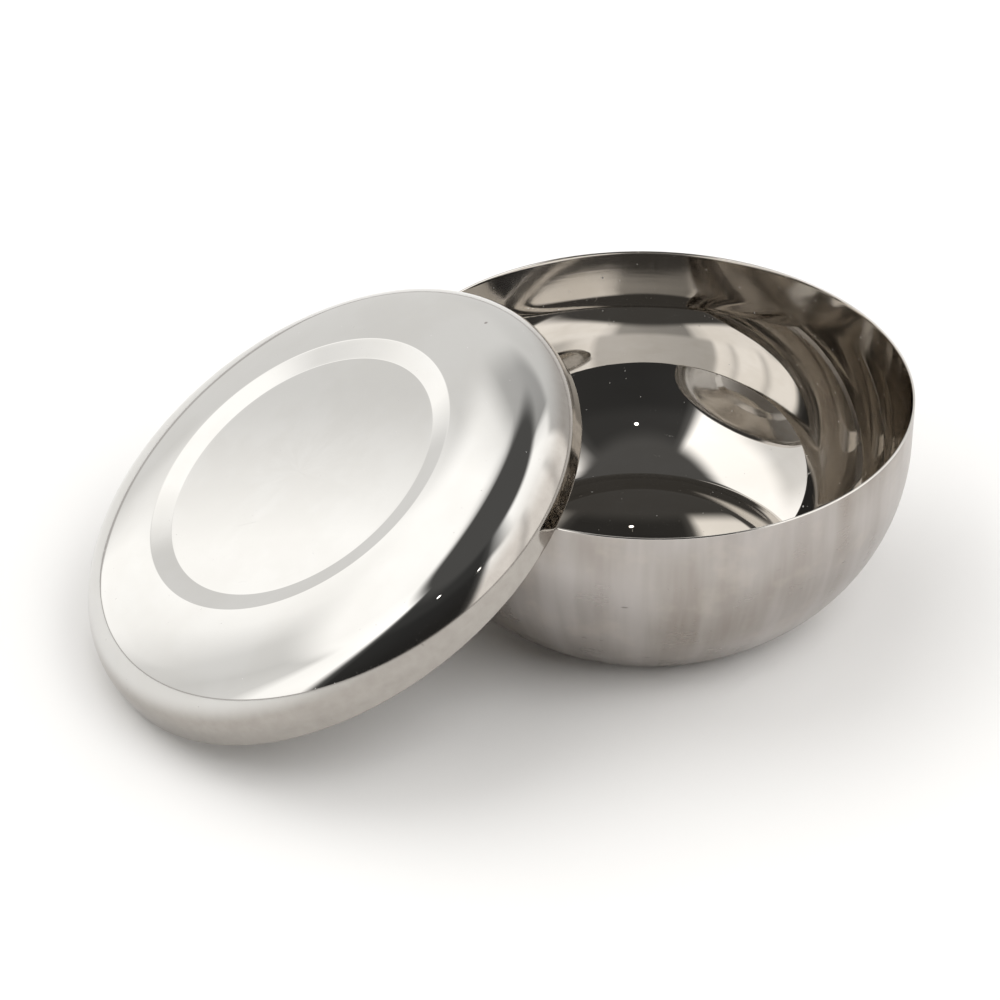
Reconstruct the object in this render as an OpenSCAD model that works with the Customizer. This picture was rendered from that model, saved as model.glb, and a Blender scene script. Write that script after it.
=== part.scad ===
// Lidded shaving bowl: two deep-drawn stainless steel pressings.
// The bowl stands on the table and the lid leans against its rim, open side inwards.
// Origin: centre of the bowl's foot, on the table. +Z is up and the lid leans towards -X.

/* [Sheet] */
// Thickness of the stainless sheet that both pieces are pressed from
sheet = 0.5; // [0.4:0.1:0.8]

/* [Bowl] */
// Outside diameter at the cut rim
rim_d = 115; // [110:1:118]
// Height of the rim above the table
bowl_h = 48.5; // [46:0.5:52]
// Height at which the round lower wall becomes the upright upper wall
wall_turn_z = 38.3; // [34:0.1:40]
// Diameter at which the round lower wall reaches the table
foot_d = 73; // [72:0.2:77]
// Radius of the bend between the wall and the foot
foot_bend_r = 2; // [1:0.1:2.5]

/* [Disc in the bowl's floor] */
// Outer diameter of the soft slope around the pressed-up disc
bowl_ring_d = 68.4; // [66:0.2:69]
// Width of the slope
bowl_ring_w = 6.4; // [5:0.1:8]
// Height that the disc is pressed up
bowl_ring_depth = 1.2; // [0.8:0.1:1.4]
// Radius of the soft bends at the two edges of the slope
bowl_ring_bend_r = 8; // [4:0.5:9]

/* [Disc in the lid] */
// Outer diameter of the crisp slope around the pressed-down disc
lid_ring_d = 73.3; // [66:0.1:76]
// Width of the slope
lid_ring_w = 4.6; // [3:0.1:6]
// Depth that the disc is pressed down
lid_ring_depth = 1.2; // [0.8:0.1:2]
// Radius of the small bends at the two edges of the slope
lid_ring_bend_r = 1.0; // [0.6:0.1:1.5]
// Height that the middle of the disc stands above the disc's edge
lid_disc_rise = 0.7; // [0.2:0.1:1.2]

/* [Lid] */
// Outside diameter of the lid's upright skirt
lid_d = 118.1; // [117:0.1:121]
// Height of the upright skirt
skirt_h = 3.3; // [2:0.1:8]
// Radius of the lid's rounded shoulder
shoulder_r = 11.3; // [8:0.1:14]
// Angle that the shoulder turns through before the crown begins
shoulder_sweep = 72; // [66:1:80]
// Radius of the shallow crown between the shoulder and the pressed ring
crown_r = 56; // [50:1:90]

/* [Leaning lid] */
// Angle of the leaning lid from lying flat
lean = 29.7; // [28:0.1:34]
// Air left between the lid's edge and the rim it leans on
rest_gap = 0.3; // [0.2:0.05:0.5]
// Air left between the lid's lowest point and the table
table_gap = 0.1; // [0:0.05:0.3]

/* [Hidden] */

turn_fn = 180;      // facets of the turned shapes in the quick view
arc_step = 4;       // degrees between two points of a large arc
bend_step = 8;      // degrees between two points of a small bend
disc_step = 0.4;    // degrees between two points of the disc's slight crown
half = sheet / 2;

// --- profile tools: a profile is a list of [radius, height] points down the sheet's middle ---

// Points of an arc of radius r about c, from angle a0 to a1
function arc(c, r, a0, a1, step) =
    let (n = max(2, ceil(abs(a1 - a0) / step)))
    [for (i = [0 : n]) let (a = a0 + (a1 - a0) * i / n) c + r * [cos(a), sin(a)]];

function unit(v) = v / norm(v);
function turned(v) = [-v[1], v[0]];

// Points of a bend of radius r that replaces the corner q between p and s
function bend(p, q, s, r) =
    let (
        u = unit(p - q),
        v = unit(s - q),
        half_angle = acos(u * v) / 2,
        c = q + unit(u + v) * r / sin(half_angle),
        t0 = q + u * r / tan(half_angle) - c,
        t1 = q + v * r / tan(half_angle) - c,
        a0 = atan2(t0[1], t0[0]),
        raw = atan2(t1[1], t1[0]) - a0,
        sweep = raw > 180 ? raw - 360 : raw < -180 ? raw + 360 : raw
    )
    arc(c, r, a0, a0 + sweep, bend_step);

// Sideways direction of a path at its point i, stretched so that both walls stay parallel
function side(path, i) =
    let (
        last = len(path) - 1,
        before = i == 0 ? unit(path[1] - path[0]) : unit(path[i] - path[i - 1]),
        after = i == last ? before : unit(path[i + 1] - path[i]),
        mean = unit(before + after)
    )
    turned(mean) / (mean * after);

// Closed outline of a sheet of even thickness that follows a path
function sheet_outline(path) = concat(
    [for (i = [0 : len(path) - 1]) path[i] + side(path, i) * half],
    [for (i = [len(path) - 1 : -1 : 0]) path[i] - side(path, i) * half]
);

module pressed(path) {
    rotate_extrude($fn = turn_fn) polygon(sheet_outline(path));
}

// --- bowl ---

rim_r = rim_d / 2 - half;
foot_r = foot_d / 2;
// Radius of the round lower wall: upright at wall_turn_z and through the foot's corner
wall_r = (pow(rim_r - foot_r, 2) + pow(wall_turn_z - half, 2)) / (2 * (rim_r - foot_r));
wall_c = [rim_r - wall_r, wall_turn_z];
wall_a0 = atan2(half - wall_c[1], foot_r - wall_c[0]);
foot_corner = [foot_r, half];
wall_next = wall_c + wall_r * [cos(wall_a0 + arc_step), sin(wall_a0 + arc_step)];
bowl_ring_out = [bowl_ring_d / 2, half];
bowl_ring_in = [bowl_ring_d / 2 - bowl_ring_w, half + bowl_ring_depth];
foot_mid = (bowl_ring_out + foot_corner) / 2;

bowl_path = concat(
    [[0, bowl_ring_in[1]]],
    bend([0, bowl_ring_in[1]], bowl_ring_in, bowl_ring_out, bowl_ring_bend_r),
    bend(bowl_ring_in, bowl_ring_out, foot_mid, bowl_ring_bend_r),
    bend(foot_mid, foot_corner, wall_next, foot_bend_r),
    arc(wall_c, wall_r, wall_a0 + arc_step, 0, arc_step),
    [[rim_r, bowl_h]]
);

module bowl() {
    color("silver") pressed(bowl_path);
}

// --- lid, modelled closed side up with its edge in the plane z = 0 ---

skirt_r = lid_d / 2 - half;
shoulder_c = [skirt_r - shoulder_r + half, skirt_h];
shoulder_mid_r = shoulder_r - half;
shoulder_path = arc(shoulder_c, shoulder_mid_r, 0, shoulder_sweep, arc_step);
crown_mid_r = crown_r - half;
crown_c = shoulder_c - (crown_mid_r - shoulder_mid_r) * [cos(shoulder_sweep), sin(shoulder_sweep)];
lid_ring_r = lid_ring_d / 2;
crown_end = acos((lid_ring_r - crown_c[0]) / crown_mid_r);
crown_path = arc(crown_c, crown_mid_r, shoulder_sweep, crown_end, arc_step);
lid_ring_out = crown_path[len(crown_path) - 1];
lid_ring_in = lid_ring_out - [lid_ring_w, lid_ring_depth];
// Radius of the disc's own slight crown, from its rise
disc_r = (pow(lid_ring_in[0], 2) + pow(lid_disc_rise, 2)) / (2 * lid_disc_rise);
disc_c = [0, lid_ring_in[1] + lid_disc_rise - disc_r];
disc_a0 = acos(lid_ring_in[0] / disc_r);
disc_path = arc(disc_c, disc_r, disc_a0, 90, disc_step);
disc_last = len(disc_path) - 2;

lid_path = concat(
    [[skirt_r, 0], [skirt_r, skirt_h]],
    [for (i = [1 : len(shoulder_path) - 1]) shoulder_path[i]],
    [for (i = [1 : len(crown_path) - 2]) crown_path[i]],
    bend(crown_path[len(crown_path) - 2], lid_ring_out, lid_ring_in, lid_ring_bend_r),
    bend(lid_ring_out, lid_ring_in, disc_path[1], lid_ring_bend_r),
    [for (i = [1 : disc_last]) disc_path[i]],
    [[0, disc_path[disc_last][1]]]
);

// Where the lid leans: its lowest point is on the table and its edge crosses the rim
// at two points. There the edge is at the rim's height, which fixes how far away it is.
lid_r = lid_d / 2;
edge_z = lid_r * sin(lean);
cross_cos = (bowl_h + rest_gap - table_gap) / edge_z - 1;
cross_y = lid_r * sqrt(1 - cross_cos * cross_cos);
lid_x = lid_r * cross_cos * cos(lean) + sqrt(pow(rim_d / 2, 2) - cross_y * cross_y);

module lid() {
    color("gainsboro")
        translate([-lid_x, 0, edge_z + table_gap])
            rotate([0, -lean, 0])
                pressed(lid_path);
}

bowl();
lid();
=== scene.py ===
"""Stainless steel shaving bowl with its domed lid leaning on the rim."""
import math

import bpy
import numpy as np
from mathutils import Matrix, Vector


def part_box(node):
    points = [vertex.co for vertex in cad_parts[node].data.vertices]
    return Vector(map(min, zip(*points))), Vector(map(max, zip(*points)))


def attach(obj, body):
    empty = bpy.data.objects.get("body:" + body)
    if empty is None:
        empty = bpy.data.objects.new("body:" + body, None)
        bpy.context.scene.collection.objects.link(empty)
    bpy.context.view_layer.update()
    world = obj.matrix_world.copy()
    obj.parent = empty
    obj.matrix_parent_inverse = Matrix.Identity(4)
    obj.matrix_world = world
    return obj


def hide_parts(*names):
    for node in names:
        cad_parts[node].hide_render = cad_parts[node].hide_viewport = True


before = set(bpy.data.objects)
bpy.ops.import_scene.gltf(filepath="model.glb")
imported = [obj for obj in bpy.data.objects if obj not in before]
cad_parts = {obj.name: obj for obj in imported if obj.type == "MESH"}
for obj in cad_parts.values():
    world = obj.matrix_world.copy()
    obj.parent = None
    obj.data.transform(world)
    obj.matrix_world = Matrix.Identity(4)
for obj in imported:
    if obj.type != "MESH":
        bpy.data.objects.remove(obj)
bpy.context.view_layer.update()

MM = 0.001

# ---------------------------------------------------------------- sizes, in millimetres

BOWL_LOW, BOWL_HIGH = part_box("bowl")
LID_LOW, LID_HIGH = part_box("lid")

SHEET = 0.5
HALF = SHEET / 2
RIM_R = (BOWL_HIGH[0] - BOWL_LOW[0]) / 2 / MM
BOWL_H = BOWL_HIGH[2] / MM
WALL_TURN_Z = 38.3
FOOT_R = 36.5
FOOT_BEND_R = 2.0
BOWL_RING_R = 34.2
BOWL_RING_W = 6.4
BOWL_RING_DEPTH = 1.2
BOWL_RING_BEND_R = 8.0
LID_RING_R = 36.65
LID_RING_W = 4.6
LID_RING_DEPTH = 1.2
LID_RING_BEND_R = 1.0
LID_DISC_RISE = 0.7

LID_R = (LID_HIGH[1] - LID_LOW[1]) / 2 / MM
SKIRT_H = 3.3
SHOULDER_R = 11.3
SHOULDER_SWEEP = 72.0
CROWN_R = 56.0
LEAN = 29.7
REST_GAP = 0.3
TABLE_GAP = 0.1

ROUND_STEPS = 384
ARC_STEP = 0.8
EDGE_POINTS = 6


# ---------------------------------------------------------------- turned sheet metal

def arc(centre, radius, start, end, longest=ARC_STEP):
    """Points on an arc, angles in degrees, with no step longer than `longest`."""
    sweep = math.radians(end - start)
    steps = max(6, math.ceil(abs(sweep) * radius / longest))
    angles = math.radians(start) + sweep * np.arange(steps + 1) / steps
    return np.array(centre) + radius * np.stack([np.cos(angles), np.sin(angles)], 1)


def line(start, end, longest=ARC_STEP):
    """Evenly spaced points from start to end, both included."""
    start, end = np.array(start, float), np.array(end, float)
    steps = max(1, math.ceil(np.linalg.norm(end - start) / longest))
    return start + (end - start) * np.linspace(0, 1, steps + 1)[:, None]


def unit(v):
    return v / np.linalg.norm(v)


def bend(before, corner, after, radius):
    """A small arc that replaces a corner of the profile."""
    before, corner, after = (np.array(p, float) for p in (before, corner, after))
    u, v = unit(before - corner), unit(after - corner)
    half_angle = math.acos(np.dot(u, v)) / 2
    centre = corner + unit(u + v) * radius / math.sin(half_angle)
    first = corner + u * radius / math.tan(half_angle) - centre
    last = corner + v * radius / math.tan(half_angle) - centre
    start = math.degrees(math.atan2(first[1], first[0]))
    turn = math.degrees(math.atan2(last[1], last[0])) - start
    turn = (turn + 180) % 360 - 180
    return arc(centre, radius, start, start + turn, radius / 6)


def join(*runs):
    """Profile runs end to end, straight stretches between them filled in evenly."""
    points = [np.array(runs[0][0], float)]
    for run in runs:
        for point in run:
            gap = np.linalg.norm(point - points[-1])
            if gap > 1e-6:
                points.extend(line(points[-1], point)[1:])
    return np.array(points)


def offset(path, distance):
    """The path moved sideways, to its left when distance is positive."""
    steps = np.diff(path, axis=0)
    steps /= np.linalg.norm(steps, axis=1)[:, None]
    before = np.vstack([steps[:1], steps])
    after = np.vstack([steps, steps[-1:]])
    mean = before + after
    mean /= np.linalg.norm(mean, axis=1)[:, None]
    stretch = 1 / (mean * after).sum(1)
    side = np.stack([-mean[:, 1], mean[:, 0]], 1) * stretch[:, None]
    moved = path + side * distance
    moved[:, 0] = np.maximum(moved[:, 0], 0)
    return moved


def round_edge(left_end, right_end):
    """The rounded cut edge between the two faces of the sheet, end points left out."""
    left_end, right_end = np.array(left_end), np.array(right_end)
    middle = (left_end + right_end) / 2
    across = left_end - middle
    along = np.array([across[1], -across[0]])
    angles = np.linspace(0, math.pi, EDGE_POINTS + 2)[1:-1]
    return middle + np.cos(angles)[:, None] * across + np.sin(angles)[:, None] * along


def turned_sheet(name, path, cut_edge_at_end):
    """A closed solid of revolution: the sheet that follows `path`, with its cut edge rounded.

    Faces carry material 0 on the left of the path and on the edge, 1 on its right."""
    if not cut_edge_at_end:
        path = path[::-1]
    end = unit(path[-1] - path[-2])
    trimmed = np.vstack([path[:-1], path[-1] - end * HALF])
    left, right = offset(trimmed, HALF), offset(trimmed, -HALF)
    edge = round_edge(left[-1], right[-1])
    ring = np.vstack([left, edge, right[::-1]])
    side = [0] * (len(left) + EDGE_POINTS) + [1] * (len(right) - 1)
    if not cut_edge_at_end:
        side = [1 - s for s in side]
    angles = np.arange(ROUND_STEPS) * 2 * math.pi / ROUND_STEPS
    inner = ring[1:-1]
    rows = len(inner)
    verts = np.empty((rows * ROUND_STEPS + 2, 3))
    radius, height = inner[:, 0][:, None], inner[:, 1][:, None]
    turned = np.stack([radius * np.cos(angles), radius * np.sin(angles),
                       height + 0 * angles], 2)
    verts[:-2] = turned.reshape(-1, 3)
    verts[-2] = (0, 0, ring[0][1])
    verts[-1] = (0, 0, ring[-1][1])
    faces, slots = [], []
    for row in range(rows - 1):
        a, b = row * ROUND_STEPS, (row + 1) * ROUND_STEPS
        for k in range(ROUND_STEPS):
            n = (k + 1) % ROUND_STEPS
            faces.append((a + k, b + k, b + n, a + n))
            slots.append(side[row + 1])
    last = (rows - 1) * ROUND_STEPS
    for k in range(ROUND_STEPS):
        n = (k + 1) % ROUND_STEPS
        faces.append((rows * ROUND_STEPS, k, n))
        slots.append(side[0])
        faces.append((rows * ROUND_STEPS + 1, last + n, last + k))
        slots.append(side[-1])
    mesh = bpy.data.meshes.new(name)
    mesh.from_pydata((verts * MM).tolist(), [], faces)
    mesh.polygons.foreach_set("material_index", slots)
    mesh.polygons.foreach_set("use_smooth", [True] * len(faces))
    mesh.update()
    piece = bpy.data.objects.new(name, mesh)
    bpy.context.scene.collection.objects.link(piece)
    return piece


def bowl_path():
    """Down the middle of the bowl's sheet, from the axis out over the foot and up the wall."""
    rim_r = RIM_R - HALF
    wall_r = ((rim_r - FOOT_R) ** 2 + (WALL_TURN_Z - HALF) ** 2) / (2 * (rim_r - FOOT_R))
    wall_c = (rim_r - wall_r, WALL_TURN_Z)
    start = math.degrees(math.atan2(HALF - wall_c[1], FOOT_R - wall_c[0]))
    lift = math.degrees(FOOT_BEND_R / wall_r) * 0.5
    wall = arc(wall_c, wall_r, start + lift, 0)
    slope_top = (BOWL_RING_R - BOWL_RING_W, HALF + BOWL_RING_DEPTH)
    slope_foot = (BOWL_RING_R, HALF)
    foot = (FOOT_R, HALF)
    foot_mid = ((BOWL_RING_R + FOOT_R) / 2, HALF)
    return join(
        [(0, slope_top[1])],
        bend((0, slope_top[1]), slope_top, slope_foot, BOWL_RING_BEND_R),
        bend(slope_top, slope_foot, foot_mid, BOWL_RING_BEND_R),
        bend(foot_mid, foot, wall[1], FOOT_BEND_R),
        wall[1:],
        [(rim_r, BOWL_H)],
    )


def lid_path():
    """Down the middle of the lid's sheet, from the skirt's edge over the shoulder to the axis."""
    skirt_r = LID_R - HALF
    shoulder_r, crown_r = SHOULDER_R - HALF, CROWN_R - HALF
    shoulder_c = np.array([skirt_r - shoulder_r, SKIRT_H])
    sweep = math.radians(SHOULDER_SWEEP)
    crown_c = shoulder_c - (crown_r - shoulder_r) * np.array([math.cos(sweep), math.sin(sweep)])
    crown_end = math.degrees(math.acos((LID_RING_R - crown_c[0]) / crown_r))
    crown = arc(crown_c, crown_r, SHOULDER_SWEEP, crown_end)
    slope_top = crown[-1]
    slope_foot = slope_top - (LID_RING_W, LID_RING_DEPTH)
    disc_r = (slope_foot[0] ** 2 + LID_DISC_RISE ** 2) / (2 * LID_DISC_RISE)
    disc_c = (0, slope_foot[1] + LID_DISC_RISE - disc_r)
    disc = arc(disc_c, disc_r, math.degrees(math.acos(slope_foot[0] / disc_r)), 90)
    return join(
        [(skirt_r, 0), (skirt_r, SKIRT_H)],
        arc(shoulder_c, shoulder_r, 0, SHOULDER_SWEEP),
        crown[1:-2],
        bend(crown[-3], slope_top, slope_foot, LID_RING_BEND_R),
        bend(slope_top, slope_foot, disc[2], LID_RING_BEND_R),
        disc[2:],
    )


def lid_place():
    """Where the lid leans: its lowest point is on the table and its edge rests on the rim."""
    lean = math.radians(LEAN)
    edge_z = LID_R * math.sin(lean)
    cross_cos = (BOWL_H + REST_GAP - TABLE_GAP) / edge_z - 1
    cross_y = LID_R * math.sqrt(1 - cross_cos ** 2)
    lid_x = LID_R * cross_cos * math.cos(lean) + math.sqrt(RIM_R ** 2 - cross_y ** 2)
    place = Matrix.Translation(Vector((-lid_x, 0, edge_z + TABLE_GAP)) * MM)
    return place @ Matrix.Rotation(-lean, 4, "Y")


# ---------------------------------------------------------------- shader helper

class Socket:
    """A node's output that can be used in arithmetic. Each operation adds one Math node."""

    def __init__(self, shader, link):
        self.shader, self.link = shader, link

    def maths(self, operation, *values):
        return self.shader.node("ShaderNodeMath", {"operation": operation}, *values)

    def __add__(self, other):
        return self.maths("ADD", self, other)

    def __sub__(self, other):
        return self.maths("SUBTRACT", self, other)

    def __mul__(self, other):
        return self.maths("MULTIPLY", self, other)

    def __truediv__(self, other):
        return self.maths("DIVIDE", self, other)

    def __radd__(self, other):
        return self.maths("ADD", other, self)

    def __rsub__(self, other):
        return self.maths("SUBTRACT", other, self)

    def __rmul__(self, other):
        return self.maths("MULTIPLY", other, self)

    def __rtruediv__(self, other):
        return self.maths("DIVIDE", other, self)


COLOUR_A, COLOUR_B, COLOUR_OUT = 6, 7, 2     # the Mix node's sockets for colours


class Shader:
    """Builds one node tree. node() adds any node: its type, its settings, its inputs."""

    def __init__(self, tree):
        self.tree = tree
        tree.nodes.clear()

    def node(self, kind, settings, *values, out=0, **named):
        made = self.tree.nodes.new(kind)
        for key, value in settings.items():
            if key == "stops":
                self.set_stops(made.color_ramp, value)
            else:
                setattr(made, key, value)
        for index, value in enumerate(values):
            self.feed(made.inputs[index], value)
        for key, value in named.items():
            self.feed(made.inputs[key.replace("_", " ")], value)
        if not made.outputs:
            return made
        if isinstance(out, tuple):
            return [Socket(self, made.outputs[key]) for key in out]
        return Socket(self, made.outputs[out])

    def feed(self, socket, value):
        if isinstance(value, Socket):
            self.tree.links.new(value.link, socket)
        else:
            socket.default_value = value

    def set_stops(self, ramp, stops):
        while len(ramp.elements) > 1:
            ramp.elements.remove(ramp.elements[-1])
        ramp.elements[0].position, ramp.elements[0].color = stops[0]
        for position, colour in stops[1:]:
            ramp.elements.new(position).color = colour

    def step(self, value, low, high):
        """0 below low, 1 above high, and a smooth climb between them."""
        return self.node("ShaderNodeMapRange", {"interpolation_type": "SMOOTHSTEP"},
                         value, low, high)

    def noise(self, vector, scale, detail=2.0, rough=0.5):
        return self.node("ShaderNodeTexNoise", {}, Vector=vector, Scale=scale, Detail=detail,
                         Roughness=rough)

    def vector(self, x, y, z):
        return self.node("ShaderNodeCombineXYZ", {}, x, y, z)

    def blend(self, amount, first, second):
        """One colour fading into another."""
        made = self.node("ShaderNodeMix", {"data_type": "RGBA"}, amount, out=COLOUR_OUT)
        self.feed(made.link.node.inputs[COLOUR_A], first)
        self.feed(made.link.node.inputs[COLOUR_B], second)
        return made


def new_material(name):
    material = bpy.data.materials.new(name)
    material.use_nodes = True
    return material, Shader(material.node_tree)


# ---------------------------------------------------------------- metals

RELIEF = 0.00001           # metres that a relief of 1 stands up
DUST = (0.62, 0.61, 0.59, 1)
PIT = (0.16, 0.13, 0.12, 1)
# The skirt's two brushed tones are painted darker than the metal: painted shade for the darker
# table the skirt mirrors.
BRUSHED_PAINTED_SHADE_DARK = (0.34, 0.315, 0.29, 1)
BRUSHED_PAINTED_SHADE_LIGHT = (0.44, 0.415, 0.385, 1)
STREAK = (0.80, 0.79, 0.785, 1)
TARNISH = (0.58, 0.53, 0.47, 1)
MARK = (0.20, 0.185, 0.17, 1)


def turned_coordinates(shader):
    """Millimetres on the turned piece: x, y, z, radius, and the unit direction from the axis."""
    place = shader.node("ShaderNodeTexCoord", {}, out="Object")
    place = shader.node("ShaderNodeVectorMath", {"operation": "SCALE"}, place, Scale=1 / MM)
    x, y, z = shader.node("ShaderNodeSeparateXYZ", {}, place, out=("X", "Y", "Z"))
    radius = shader.node("ShaderNodeMath", {"operation": "SQRT"}, x * x + y * y + 0.01)
    return place, z, radius, x / radius, y / radius


def specks(shader, place, spacing, size, share):
    """Round specks: at most one in a cell, in this share of the cells."""
    settings = {"feature": "F1"}
    distance, cell = shader.node("ShaderNodeTexVoronoi", settings, Vector=place,
                                 Scale=1 / spacing, out=("Distance", "Color"))
    chance, width = shader.node("ShaderNodeSeparateXYZ", {}, cell, out=("X", "Y"))
    close = 1 - shader.step(distance, size * 0.4, size)
    return close * shader.step(chance, 1 - share, 1 - share * 0.9) * (width * 0.6 + 0.4)


def scratches(shader, place, turn, amount):
    """Short straight hairlines that run in one direction."""
    turned_place = shader.node("ShaderNodeVectorRotate", {}, Vector=place, Axis=(0.3, 0.2, 1),
                               Angle=math.radians(turn))
    long_way = shader.node("ShaderNodeVectorMath", {"operation": "MULTIPLY"}, turned_place,
                           (0.05, 2.2, 0.5))
    line_mask = shader.step(shader.noise(long_way, 1.0, 1.0), 0.74, 0.79)
    where = shader.step(shader.noise(place, 0.07, 1.0), 0.50, 0.62)
    return line_mask * where * amount


def polished_steel(name, colour, shade, dull, haze, wave, dust, drawn=None, skirt=None):
    """Mirror-polished steel: slow waves, fine polishing rings, haze, hairlines and dust.

    `colour` and `shade` are its two slow tones, `dull` the least roughness, `haze`, `wave` and
    `dust` the strengths of those. `drawn` is the height above which fine upright drawing marks
    show, and `skirt` the height of the skirt. Round the skirt the metal is brushed, and its
    colour is painted darker and greyer as painted shade for the darker table it mirrors there."""
    material, shader = new_material(name)
    place, z, radius, side_x, side_y = turned_coordinates(shader)
    rings_at = shader.vector(radius * 1.6 + side_x * 0.4, z * 1.6, side_y * 0.4)
    rings = shader.noise(rings_at, 1.0, 3.0, 0.6)
    cloud = shader.noise(place, 0.045, 3.0, 0.55)
    smear = shader.noise(shader.vector(side_x * 3, side_y * 3, (z + radius) * 0.16), 1.0, 3.0)
    hairs = scratches(shader, place, 35, 0.8) + scratches(shader, place, 110, 0.5)
    spots = specks(shader, place, 1.3, 0.12, 0.14 * dust)
    spots = spots + specks(shader, place, 5.3, 0.06, 0.30 * dust)
    pits = specks(shader, place, 12.7, 0.045, 0.10)
    tint = shader.blend(shader.step(cloud + (smear - 0.5) * 0.5, 0.38, 0.66), shade, colour)
    tint = shader.blend(spots * 0.9, tint, DUST)
    tint = shader.blend(pits * 0.8, tint, PIT)
    roughness = dull + shader.step(smear, 0.45, 0.75) * haze + (rings - 0.5) * haze * 0.6
    roughness = roughness + hairs * 0.22 + spots * 0.6 + pits * 0.3
    slow = shader.noise(place, 0.075, 1.0)
    slow_round = shader.noise(shader.vector(side_x * 3.2, side_y * 3.2, z * 0.05), 1.0, 1.0)
    relief = (slow + slow_round) * wave + rings * 0.035 - hairs * 0.10
    if drawn is not None:
        upper = shader.step(z, drawn - 2.0, drawn + 1.5)
        marks = shader.noise(shader.vector(side_x * 70, side_y * 70, z * 0.25), 1.0, 2.0)
        level_marks = shader.noise(shader.vector(side_x * 5, side_y * 5, z * 1.1), 1.0, 3.0)
        roughness = roughness + upper * (0.03 + marks * 0.05)
        relief = relief + upper * (marks * 0.10 + level_marks * 0.30)
    if skirt is not None:
        # Round the skirt the colour is painted darker and greyer, as painted shade for the darker
        # table mirrored there. The brushing pattern and the extra roughness are the real finish.
        shaded_skirt_band = 1 - shader.step(z, skirt + 3.5, skirt + 8.0)
        brushing = shader.noise(shader.vector(side_x * 24, side_y * 24, z * 0.5), 1.0, 3.0)
        tint = shader.blend(shaded_skirt_band, tint, shader.blend(brushing, BRUSHED_PAINTED_SHADE_DARK, BRUSHED_PAINTED_SHADE_LIGHT))
        roughness = roughness + shaded_skirt_band * (0.03 + brushing * 0.06)
    bumps = shader.node("ShaderNodeBump", {}, Strength=1.0, Distance=RELIEF, Height=relief)
    surface = shader.node("ShaderNodeBsdfPrincipled", {}, Base_Color=tint,
                          Metallic=1 - spots * 0.9, Roughness=roughness, Normal=bumps)
    shader.node("ShaderNodeOutputMaterial", {}, Surface=surface)
    return material


def satin_steel(name, colour, shade, dull, streak):
    """Satin steel: soft upright streaks, rings left by the brush, brown patches, small marks.

    `colour` and `shade` are its two slow tones, `dull` its roughness, `streak` how streaky."""
    material, shader = new_material(name)
    place, z, radius, side_x, side_y = turned_coordinates(shader)
    streaks = shader.noise(shader.vector(side_x * 9, side_y * 9, z * 0.02), 1.0, 3.0, 0.5)
    fine_streaks = shader.noise(shader.vector(side_x * 50, side_y * 50, z * 0.04), 1.0, 2.0)
    brushed_at = shader.vector(radius * 1.1 + side_x * 0.7, z * 1.1, side_y * 0.7)
    brushed = shader.noise(brushed_at, 1.0, 2.0, 0.6)
    patches = shader.noise(place, 0.030, 2.0, 0.5)
    cloud = shader.noise(place, 0.11, 3.0, 0.6)
    marks_at = shader.node("ShaderNodeVectorMath", {"operation": "MULTIPLY"}, place, (1, 1, 3.2))
    marks = specks(shader, marks_at, 8.0, 0.13, 0.12)
    tint = shader.blend(shader.step(patches, 0.36, 0.66), shade, colour)
    tint = shader.blend(shader.step(streaks, 0.30, 0.72) * 0.22 * streak, tint, STREAK)
    tint = shader.blend(shader.step(cloud, 0.50, 0.80) * 0.35, tint, TARNISH)
    tint = shader.blend(marks * 0.85, tint, MARK)
    roughness = dull + (streaks - 0.5) * 0.10 * streak + (brushed - 0.5) * 0.08
    roughness = roughness + (cloud - 0.5) * 0.10 + marks * 0.2
    relief = brushed * 0.12 + (fine_streaks * 0.08 + streaks * 0.25) * streak
    bumps = shader.node("ShaderNodeBump", {}, Strength=1.0, Distance=RELIEF, Height=relief)
    surface = shader.node("ShaderNodeBsdfPrincipled", {}, Base_Color=tint, Metallic=1.0,
                          Roughness=roughness, Normal=bumps)
    shader.node("ShaderNodeOutputMaterial", {}, Surface=surface)
    return material


# ---------------------------------------------------------------- pieces

bowl = turned_sheet("bowl_pressing", bowl_path(), cut_edge_at_end=True)
bowl.data.materials.append(polished_steel("bowl_mirror_inside", (0.69, 0.667, 0.637, 1),
                                          (0.66, 0.635, 0.60, 1), 0.012, 0.03, 0.5, 1.0,
                                          drawn=WALL_TURN_Z))
bowl.data.materials.append(satin_steel("bowl_satin_outside", (0.41, 0.378, 0.358, 1),
                                       (0.315, 0.28, 0.25, 1), 0.30, 1.0))
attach(bowl, "bowl")
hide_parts("bowl")

lid = turned_sheet("lid_pressing", lid_path(), cut_edge_at_end=False)
lid.matrix_world = lid_place()
lid.data.materials.append(satin_steel("lid_satin_inside", (0.76, 0.74, 0.715, 1),
                                      (0.69, 0.665, 0.63, 1), 0.20, 0.0))
lid.data.materials.append(polished_steel("lid_mirror_outside", (0.655, 0.65, 0.635, 1),
                                         (0.635, 0.628, 0.61, 1), 0.025, 0.035, 0.5, 0.6,
                                         skirt=SKIRT_H))
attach(lid, "lid")
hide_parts("lid")


# ---------------------------------------------------------------- floor, light and camera

def floor():
    mesh = bpy.data.meshes.new("table_top")
    size = 3.0
    corners = [(-size, -size, 0), (size, -size, 0), (size, size, 0), (-size, size, 0)]
    mesh.from_pydata(corners, [], [(0, 1, 2, 3)])
    piece = bpy.data.objects.new("table_top", mesh)
    bpy.context.scene.collection.objects.link(piece)
    material, shader = new_material("table_top")
    surface = shader.node("ShaderNodeBsdfPrincipled", {}, Base_Color=(0.9, 0.895, 0.885, 1),
                          Roughness=0.7)
    shader.node("ShaderNodeOutputMaterial", {}, Surface=surface)
    mesh.materials.append(material)


floor()

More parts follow.
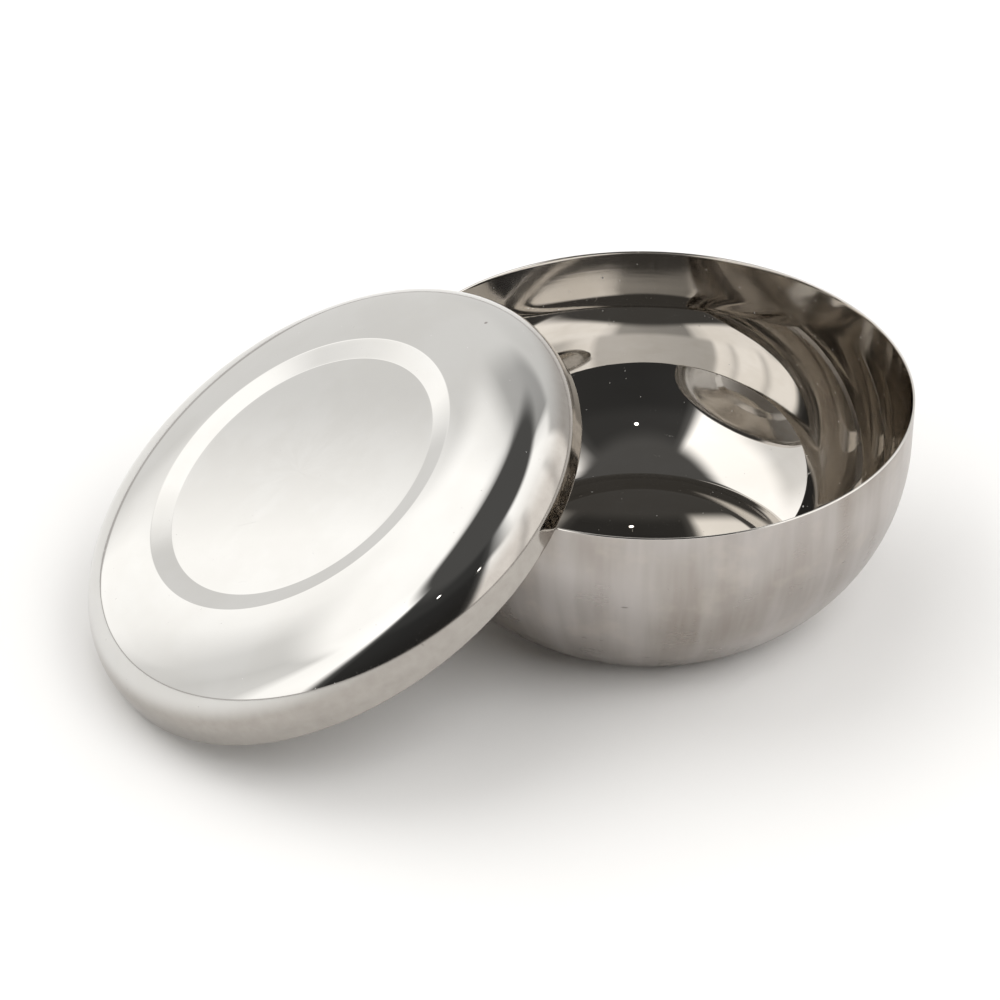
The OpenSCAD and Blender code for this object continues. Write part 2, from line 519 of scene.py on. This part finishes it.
CAMERA_TURN = 21.91        # degrees from square-on, round towards the lid's side
CAMERA_BACK = 10.17        # distance from the bowl's axis, in rim radii
CAMERA_HEIGHT = 7.375      # height above the table, in rim radii
CAMERA_YAW = -0.0553       # aim to the left of the bowl's axis, radians
CAMERA_PITCH = 0.6073      # aim below the horizon, radians
CAMERA_ROLL = -0.004
CAMERA_LENS = 115.2


def camera():
    turn = math.radians(CAMERA_TURN)
    radius = RIM_R * MM
    place = Vector((-math.sin(turn) * CAMERA_BACK, -math.cos(turn) * CAMERA_BACK, CAMERA_HEIGHT))
    heading = turn + CAMERA_YAW
    ahead = Vector((math.sin(heading) * math.cos(CAMERA_PITCH),
                    math.cos(heading) * math.cos(CAMERA_PITCH), -math.sin(CAMERA_PITCH)))
    right = Vector((math.cos(heading), -math.sin(heading), 0))
    up = right.cross(ahead)
    tilt_right = right * math.cos(CAMERA_ROLL) + up * math.sin(CAMERA_ROLL)
    tilt_up = up * math.cos(CAMERA_ROLL) - right * math.sin(CAMERA_ROLL)
    data = bpy.data.cameras.new("camera")
    data.lens = CAMERA_LENS
    data.sensor_width = 36.0
    made = bpy.data.objects.new("camera", data)
    bpy.context.scene.collection.objects.link(made)
    axes = Matrix((tilt_right, tilt_up, -ahead)).transposed().to_4x4()
    made.matrix_world = Matrix.Translation(place * radius) @ axes
    bpy.context.scene.camera = made


camera()

# The studio is a round tent of pale cloth. Each row gives a bearing in degrees, clockwise from
# straight ahead of the camera, and the cloth's brightness there. The side behind the camera
# is open and dark.
LOWER_CLOTH = [(-180, 0.030), (-156, 0.035), (-151, 0.10), (-145, 1.45), (-124, 1.35),
               (-114, 0.88), (-90, 0.80), (-74, 0.88), (-60, 1.25), (-48, 1.35), (-40, 0.84),
               (-15, 0.84), (0, 0.78), (40, 0.68), (56, 0.70), (61, 1.45), (70, 1.35),
               (75, 1.0), (80, 1.45), (98, 1.45), (104, 1.0), (110, 1.45), (131, 1.45),
               (137, 0.10), (143, 0.035), (180, 0.030)]
UPPER_CLOTH = [(-180, 0.045), (-156, 0.05), (-151, 0.12), (-145, 1.50), (-90, 1.35),
               (-45, 1.40), (-33, 1.10), (-25, 0.54), (0, 0.46), (38, 0.40), (46, 1.05),
               (60, 1.35), (112, 1.35), (126, 0.50), (136, 0.08), (143, 0.045), (180, 0.045)]
LAMPS = [(176, 50), (141, 41)]     # bearing and height of the small round lamps, degrees
CLOTH_COLOUR = (1.13, 1.115, 1.09)
ROOF = (0.10, 0.098, 0.095, 1)
HEM = (0.62, 0.60, 0.58, 1)
LAMP = (9.0, 8.7, 8.2, 1)
BACKDROP = (0.86, 0.86, 0.85, 1)


def cloth(shader, bearing, rows):
    stops = [(angle / 360 + 0.5, [level * c for c in CLOTH_COLOUR] + [1])
             for angle, level in rows]
    return shader.node("ShaderNodeValToRGB", {"stops": stops}, bearing)


def studio():
    made = bpy.data.worlds.new("studio")
    bpy.context.scene.world = made
    made.use_nodes = True
    shader = Shader(made.node_tree)
    ray = shader.node("ShaderNodeTexCoord", {}, out="Generated")
    x, y, z = shader.node("ShaderNodeSeparateXYZ", {}, ray, out=("X", "Y", "Z"))
    heading = math.radians(CAMERA_TURN) + CAMERA_YAW
    right = x * math.cos(heading) - y * math.sin(heading)
    ahead = x * math.sin(heading) + y * math.cos(heading)
    bearing = shader.node("ShaderNodeMath", {"operation": "ARCTAN2"}, right, ahead)
    bearing = bearing / (2 * math.pi) + 0.5
    height = shader.node("ShaderNodeMath", {"operation": "ARCSINE"}, z) * (180 / math.pi)
    walls = shader.blend(shader.step(height, 36, 46), cloth(shader, bearing, LOWER_CLOTH),
                         cloth(shader, bearing, UPPER_CLOTH))
    top = height + (ahead * ahead - right * right) * 20
    tent = shader.blend(shader.step(top, 58, 67), walls, ROOF)
    hem = 1 - shader.step(height, 0.8, 1.6)
    tent = shader.blend(hem, tent, HEM)
    for lamp_bearing, lamp_height in LAMPS:
        level = math.cos(math.radians(lamp_height))
        aim = (math.sin(math.radians(lamp_bearing)) * level,
               math.cos(math.radians(lamp_bearing)) * level,
               math.sin(math.radians(lamp_height)))
        near = right * aim[0] + ahead * aim[1] + z * aim[2]
        tent = shader.blend(shader.step(near, 0.99985, 0.99997), tent, LAMP)
    seen = shader.node("ShaderNodeLightPath", {}, out="Is Camera Ray")
    colour = shader.blend(seen, tent, BACKDROP)
    light = shader.node("ShaderNodeBackground", {}, Color=colour, Strength=1.0)
    shader.node("ShaderNodeOutputWorld", {}, Surface=light)


def table_light(name, place, size, energy):
    """A wide soft lamp that lights the table and is not mirrored in the steel."""
    data = bpy.data.lights.new(name, "AREA")
    data.shape = "DISK"
    data.size = size
    data.energy = energy
    made = bpy.data.objects.new(name, data)
    made.location = place
    made.visible_glossy = False
    bpy.context.scene.collection.objects.link(made)


studio()
table_light("far_lamp", (-0.4, 0.8, 1.5), 1.6, 10.0)
table_light("near_lamp", (0.4, -1.0, 1.3), 1.4, 11.0)

bpy.context.scene.view_settings.view_transform = "Standard"
bpy.context.scene.cycles.max_bounces = 16
bpy.context.scene.cycles.glossy_bounces = 16
